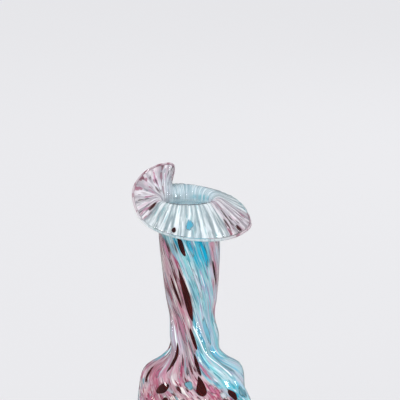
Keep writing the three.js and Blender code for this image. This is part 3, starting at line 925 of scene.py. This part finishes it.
# %% Colours of the spatter
# for each layer: across, along, shift, size, softness, colours on the pink and turquoise side.
# A colour is red, green, blue, cover, and the chance up to which it is picked.
LAYERS = [
    (1.0, 0.9, 3.0, 0.62, 0.34, [
        (202, 140, 154, 0.9, 0.24), (0, 0, 0, 0, 0.36), (158, 150, 158, 0.85, 0.52),
        (212, 190, 196, 0.85, 0.7), (180, 96, 124, 0.9, 0.84), (150, 178, 188, 0.85, 1),
    ], [
        (100, 184, 196, 0.9, 0.22), (0, 0, 0, 0, 0.34), (164, 206, 216, 0.9, 0.54),
        (124, 192, 206, 0.9, 0.7), (200, 210, 222, 0.85, 0.88), (24, 160, 186, 0.95, 1),
    ]),
    (2.2, 1.6, 17.0, 0.54, 0.16, [
        (206, 142, 158, 0.9, 0.15), (0, 0, 0, 0, 0.27), (238, 230, 228, 0.95, 0.41),
        (170, 70, 102, 0.95, 0.54), (134, 126, 136, 0.9, 0.66), (214, 182, 192, 0.9, 0.76),
        (92, 24, 32, 0.95, 0.84), (120, 168, 178, 0.9, 0.91), (66, 12, 18, 1, 1),
    ], [
        (76, 172, 186, 0.95, 0.16), (0, 0, 0, 0, 0.3), (222, 232, 238, 0.95, 0.45),
        (152, 176, 200, 0.9, 0.6), (0, 154, 190, 1, 0.71), (150, 218, 224, 0.9, 0.84),
        (184, 142, 182, 0.9, 0.9), (84, 146, 160, 0.95, 1),
    ]),
    (4.4, 2.4, 31.0, 0.52, 0.14, [
        (192, 112, 140, 0.9, 0.14), (0, 0, 0, 0, 0.34), (240, 232, 226, 0.95, 0.48),
        (134, 42, 70, 0.9, 0.6), (126, 122, 132, 0.85, 0.71), (72, 20, 24, 0.95, 0.85),
        (210, 172, 186, 0.9, 0.93), (144, 96, 82, 0.85, 1),
    ], [
        (48, 160, 178, 0.9, 0.15), (0, 0, 0, 0, 0.38), (228, 236, 240, 0.95, 0.55),
        (114, 152, 178, 0.85, 0.68), (136, 214, 216, 0.9, 0.82), (196, 154, 192, 0.9, 0.9),
        (70, 134, 150, 0.9, 1),
    ]),
]
print("spatter layers:", len(LAYERS))

# %% Glass with spatter


class SpatterGlass(Glass):
    """Glass with small chips, whose colours depend on the side of the vase."""

    def __init__(self, name):
        super().__init__(name)
        blown = self.kept("blue_side") + (self.noise(0.9, 0.6, 3.0) - 0.5) * 1.1
        self.sided = blown.over(0.4, 0.6)

    def cells(self, x, z, shift):
        """For uneven cells: how far from the cell's middle, and the cell's chance."""
        wander = self.node(
            "VectorMath", self.noise(1.4 * x, 1.4 * z, 2.0, shift, out="Color"),
            (0.9, 0.9, 0.9), self.stretched(x, z, shift), operation="MULTIPLY_ADD"
        )
        distance = self.node("TexVoronoi", named={"Vector": wander, "Scale": 1.0})
        return distance, self.node("SeparateColor", distance.beside("Color"))

    def pick(self, chance, colours):
        """The colour and the cover that a chance picks."""
        starts = [0.0] + [high for *_, high in colours]
        stops = [
            (start, srgb(red, green, blue)[:3] + (cover,))
            for start, (red, green, blue, cover, _) in zip(starts, colours)
        ]
        colour = self.node("ValToRGB", chance, stops=stops)
        return colour, colour.beside("Alpha")

    def lay(self, under, x, z, shift, size, soft, pink, blue):
        """Lays one layer of chips over the colour under it."""
        distance, chance = self.cells(x, z, shift)
        pink_colour, pink_cover = self.pick(chance, pink)
        blue_colour, blue_cover = self.pick(chance, blue)
        cover = self.sided * blue_cover + (1 - self.sided) * pink_cover
        cover = cover * distance.over(size, size - soft)
        return cover.tint(under, self.sided.tint(pink_colour, blue_colour))


print("a chip of the broad layer is", round(1 / LAYERS[0][1], 1), "chip lengths long")

# %% [markdown]
# ## Thick, thin and folded places
# Over the layers come fine lines of light and dark cords, a painted shadow in the grooves, and the
# places where a colour is thick or the glass is drawn thin, all broken up by streaks. The fold
# on each strand catches a line of light that is finer than its faces can mirror, so that line is
# painted, with a deeper tone beside it. The far side of the throat shows the casing's blue-grey
# with fine upright lines, as the ribs end there. Its tones are painted lighter further in, as
# painted light in place of what the thin wall lets through from outside.

# %% Thick, thin and folded places
STRONGEST_PINK, STRONGEST_BLUE = srgb(196, 84, 120), srgb(0, 184, 216)


def cords(glass, colour):
    """Fine light and dark lines, and painted shade in the grooves between the strands."""
    lines = glass.noise(9.0, 1.1, 3.0, shift=5.0)
    colour = (lines.over(0.54, 0.7) * 0.5).tint(colour, srgb(222, 218, 228))
    colour = (lines.over(0.44, 0.32) * 0.4).tint(colour, srgb(96, 72, 90))
    # painted shade: the grooves between the strands are darkened
    groove = glass.kept("crest").over(-0.5, -0.95)
    return (groove * 0.4).tint(colour, srgb(96, 78, 92))


def thick_places(glass, colour):
    patchy = glass.noise(1.8, 1.2, 3.0, shift=2.0).over(0.36, 0.6) * 0.8
    veil = glass.noise(3.0, 0.8, shift=23.0).over(0.42, 0.58)
    pale = veil.tint(srgb(198, 218, 228), srgb(206, 190, 210))
    colour = (glass.kept("pale") * (0.5 + patchy * 0.5)).tint(colour, pale)
    streaky = glass.noise(3.6, 0.7, shift=29.0).over(0.44, 0.54)
    colour = (glass.kept("strong_dark") * streaky * 0.85).tint(colour, srgb(78, 24, 28))
    colour = (glass.kept("strong_pink") * patchy).tint(colour, STRONGEST_PINK)
    return (glass.kept("strong_blue") * patchy).tint(colour, STRONGEST_BLUE)


def fold_line(glass, colour):
    fold = glass.kept("fold")
    beside = glass.sided.tint(srgb(146, 110, 126), srgb(92, 158, 174))
    colour = (fold.over(0.003, 0.12) * 0.45).tint(colour, beside)
    return (fold.over(0.32, 0.7) * 0.95).tint(colour, srgb(254, 254, 255))


def throat_tone_with_painted_light(glass, colour, dark, pale):
    """Blue-grey with fine upright lines and a patch of teal, over the colour in the throat."""
    tone = glass.noise(11.0, 0.4, shift=13.0).over(0.38, 0.66).tint(dark, pale)
    teal = glass.kept("strong_blue") * glass.noise(5.0, 0.5, shift=19.0).over(0.38, 0.58)
    tone = (teal * 0.95).tint(tone, srgb(90, 172, 190))
    return (glass.kept("throat") * 0.8).tint(colour, tone)


print("strongest pink to the shader:", [round(part, 2) for part in STRONGEST_PINK[:3]])

# %% The spatter on the lining
glass = SpatterGlass("spatter glass")
tone = glass.noise(2.4, 0.9).over(0.35, 0.65)
colour = glass.sided.tint(
    tone.tint(srgb(182, 142, 152), srgb(210, 188, 192)),
    tone.tint(srgb(122, 190, 198), srgb(186, 208, 214)),
)
for layer in LAYERS:
    colour = glass.lay(colour, *layer)
for add in (cords, thick_places, fold_line):
    colour = add(glass, colour)
# the throat's tones here are painted lighter than the glass, as painted light for the shaded inside
colour = throat_tone_with_painted_light(glass, colour, srgb(194, 216, 228), srgb(234, 244, 249))
glass.show_inside(colour, glass.kept("along").over(1.02, 0.95), [lining])

# %% [markdown]
# ## The milky lip
# In the lip the spatter is drawn so thin that it is a pale haze, white along each rib and
# grey-green between, with fine streaks of whatever chip lay there. The white on the ribs is
# partly the haze's colour and partly a painted highlight, and fine grey-blue lines are painted
# dark refraction lines, for the dark room that ribbed glass bends into view. Seen from above,
# the lining and the big chips are in front of it, so it is painted on the casing's inner face.

# %% Colours of the lip's streaks
LIP_LAYERS = [
    (3.0, 0.9, 41.0, 0.52, 0.16, [
        (0, 0, 0, 0, 0.46), (190, 112, 148, 0.8, 0.6), (134, 40, 70, 0.9, 0.76),
        (226, 196, 210, 0.7, 0.87), (84, 16, 34, 0.95, 1),
    ], [
        (0, 0, 0, 0, 0.68), (144, 190, 198, 0.6, 0.81), (240, 240, 243, 0.7, 0.94),
        (70, 158, 170, 0.7, 1),
    ]),
    (6.0, 1.5, 53.0, 0.5, 0.14, [
        (0, 0, 0, 0, 0.5), (158, 70, 104, 0.8, 0.66), (112, 114, 130, 0.7, 0.76),
        (244, 236, 240, 0.85, 0.88), (74, 16, 30, 0.95, 1),
    ], [
        (0, 0, 0, 0, 0.6), (120, 136, 148, 0.6, 0.74), (244, 246, 248, 0.8, 0.9),
        (128, 178, 184, 0.6, 1),
    ]),
]
print("streak layers in the lip:", len(LIP_LAYERS))

# %% The lip's colour
glass = SpatterGlass("milky lip glass")
along = glass.kept("along")
uneven = (glass.noise(4.0, 0.8, 4.0, shift=7.0) - 0.5) * 2.2
ridge = (glass.kept("ridge") + uneven).over(0.05, 1.0)
# white along each rib: partly the haze's colour, partly a painted highlight of the ribs
milk = ridge.tint(
    glass.sided.tint(srgb(180, 166, 177), srgb(160, 172, 178)),
    glass.sided.tint(srgb(241, 232, 237), srgb(243, 241, 244)),
)
for layer in LIP_LAYERS:
    milk = glass.lay(milk, *layer)
# fine grey-blue lines: painted dark refraction lines, for the dark room the ribs bend into view
fine = glass.noise(10.0, 0.5, shift=11.0)
milk = (fine.over(0.6, 0.72) * 0.55).tint(milk, srgb(116, 128, 142))
# painted light: further into the throat, where its walls shade it, the tones are painted lighter
deep = along.over(1.06, 0.98)
dark = deep.tint(srgb(140, 166, 180), srgb(176, 200, 212))
pale = deep.tint(srgb(222, 227, 232), srgb(236, 244, 248))
milk = throat_tone_with_painted_light(glass, milk, dark, pale)
edge = glass.sided.tint(srgb(150, 100, 118), srgb(168, 200, 206))
milk = (along.over(1.935, 1.95) * 0.8).tint(milk, edge)
print("the lip's colour takes", len(glass.tree.nodes), "nodes")

# %% [markdown]
# ## How much the haze covers
# It covers the ribs more than the grooves, most in the throat, and lets more than half of the
# lamps' light through, since thin milky glass glows from behind.

# %% The milky lip
cover = along.over(0.93, 0.98) * (ridge * 0.3 + 0.64 + glass.kept("throat") * 0.3)
cover = cover * (1 - glass.node("LightPath", out="Is Shadow Ray") * 0.6)
glass.show_inside(milk, cover, [casing])

# %% [markdown]
# ## The coloured chips
# Each colour of glass is strong but not flat: it was a melt of its own, with cords of lighter
# and darker glass. In the bulb a chip isn't drawn out, and the casing over it is thicker and
# greyer; low in the neck it is drawn thin and pale; and in the lip it half melts away. Oxblood
# is stiff and keeps its edge, and the other colours melt into the spatter round them.

# %% Tones of the chips
# in the bulb, low in the neck, high in the neck, in the lip, and the cords
CHIP_TONES = {
    "oxblood": [(48, 0, 2), (46, 0, 2), (44, 0, 2), (56, 2, 8), (84, 12, 10)],
    "turquoise": [(100, 146, 160), (122, 184, 204), (0, 170, 206), (80, 174, 202), (146, 182, 192)],
    "pink": [(190, 102, 134), (190, 132, 154), (186, 110, 140), (200, 130, 160), (208, 164, 180)],
    "white": [(212, 208, 214), (208, 214, 224), (204, 210, 222), (214, 218, 226), (180, 196, 208)],
}
# where each colour starts to melt away and where it has gone, 1 being the chip's edge; how
# ragged that edge is; and how much of the chip goes in the lip
MELTS = {
    "oxblood": (0.9, 1.3, 0.9, 0.1), "turquoise": (0.5, 1.1, 1.7, 0.35),
    "pink": (0.35, 0.95, 1.7, 0.35), "white": (0.35, 0.95, 1.7, 0.35),
}
print("chip colours:", ", ".join(CHIP_TONES))

# %% The coloured chips
for colour, tones in CHIP_TONES.items():
    glass = Glass(f"{colour} glass")
    bulb, low_neck, high_neck, lip, cord = (srgb(*tone) for tone in tones)
    melts, gone, rag, lost = MELTS[colour]
    along, rim = glass.kept("along"), glass.kept("rim")
    in_lip = along.over(1.0, 1.2)
    tone = along.over(0.36, 0.44).tint(bulb, low_neck)
    tone = along.over(0.6, 0.8).tint(tone, high_neck)
    tone = in_lip.tint(tone, lip)
    tone = (glass.noise(5.0, 1.2, 3.0) + rim * 0.16).over(0.56, 0.8).tint(tone, cord)
    ragged = (glass.noise(4.0, 2.0, 3.0) - 0.5) * rag
    solid = (1 - (rim + ragged).over(melts, gone)) * rim.over(0.99, 0.88)
    glass.show_inside(tone, solid * (1 - in_lip * lost), chip_pieces[colour])

# %% [markdown]
# ## Floor and backdrop
# A plain pale studio: one wide floor whose far edge can't be told from the world behind it. The
# camera sees both in one even tone, also through the glass. What the glass mirrors is a dimmer
# room, because full mirror images of so bright a room would veil the dark chips.

# %% The floor
PALE = srgb(234, 234, 237)
WORLD, ROOM = 0.8, 0.34
EVEN_FLOOR = 0.88  # the rest of the floor takes the vase's shadow

bpy.ops.object.select_all(action="DESELECT")
bpy.ops.mesh.primitive_circle_add(vertices=96, radius=20, fill_type="NGON")
floor = bpy.context.object
floor.name = "floor"
bpy.ops.object.mode_set(mode="EDIT")
bpy.ops.mesh.select_all(action="SELECT")
bpy.ops.mesh.inset(thickness=19)
bpy.ops.object.mode_set(mode="OBJECT")
finish = Finish("pale floor")
ray = finish.node("LightPath", out="Is Camera Ray")
seen = ray.math("MAXIMUM", ray.beside("Is Transmission Ray"))
matt, even = finish.node("BsdfDiffuse", PALE), finish.node("Emission", PALE, 1.0)
surface = finish.node("MixShader", seen * EVEN_FLOOR, matt, even)
mirrored, room = ray.beside("Is Glossy Ray"), finish.node("Emission", PALE, ROOM)
finish.show(finish.node("MixShader", mirrored, surface, room), [floor])

# %% The world
studio = Finish("studio", world=True)
bpy.context.scene.world = studio.made
ray = studio.node("LightPath")
light = studio.node("Background", PALE, WORLD)
for kind, bright in (("Glossy", ROOM), ("Transmission", 1.0), ("Camera", 1.0)):
    backdrop = studio.node("Background", PALE, bright)
    light = studio.node("MixShader", ray.beside(f"Is {kind} Ray"), light, backdrop)
studio.show(light)

# %% [markdown]
# ## The lamps
# Three large soft lamps light the vase, from the upper left, from low at the right and from
# behind. They would show in the glass as broad white panes, so they are left out of its mirror
# images. Four small lamps do the reverse: they light nothing and are only mirrored, as thin
# bright lines along the glass's ridges.

# %% The lamps
LAMPS_AIM = Vector((0, 0, 0.12))


def softbox(name, place, size, power, lights):
    lamp = bpy.data.lights.new(name, "AREA")
    lamp.shape = "RECTANGLE"
    lamp.size, lamp.size_y = size
    lamp.energy = power
    holder = bpy.data.objects.new(name, lamp)
    bpy.context.scene.collection.objects.link(holder)
    holder.location = place
    holder.visible_diffuse, holder.visible_glossy = lights, not lights
    holder.rotation_mode = "QUATERNION"
    holder.rotation_quaternion = (LAMPS_AIM - holder.location).to_track_quat("-Z", "Y")


softbox("large softbox", (-1.05, -1.25, 1.15), (1.0, 1.0), 16, lights=True)
softbox("low softbox", (1.1, -1.2, 0.1), (0.9, 0.9), 12, lights=True)
softbox("back softbox", (0.5, 1.3, 1.0), (0.8, 0.8), 7, lights=True)
softbox("right strip", (0.95, -0.62, 0.28), (0.2, 0.5), 7, lights=False)
softbox("side strip", (1.15, 0.1, 0.25), (0.08, 0.3), 1.2, lights=False)
softbox("left strip", (-1.2, -0.12, 0.2), (0.2, 0.26), 3, lights=False)
softbox("high strip", (-0.3, -1.05, 1.6), (0.4, 0.25), 1.6, lights=False)
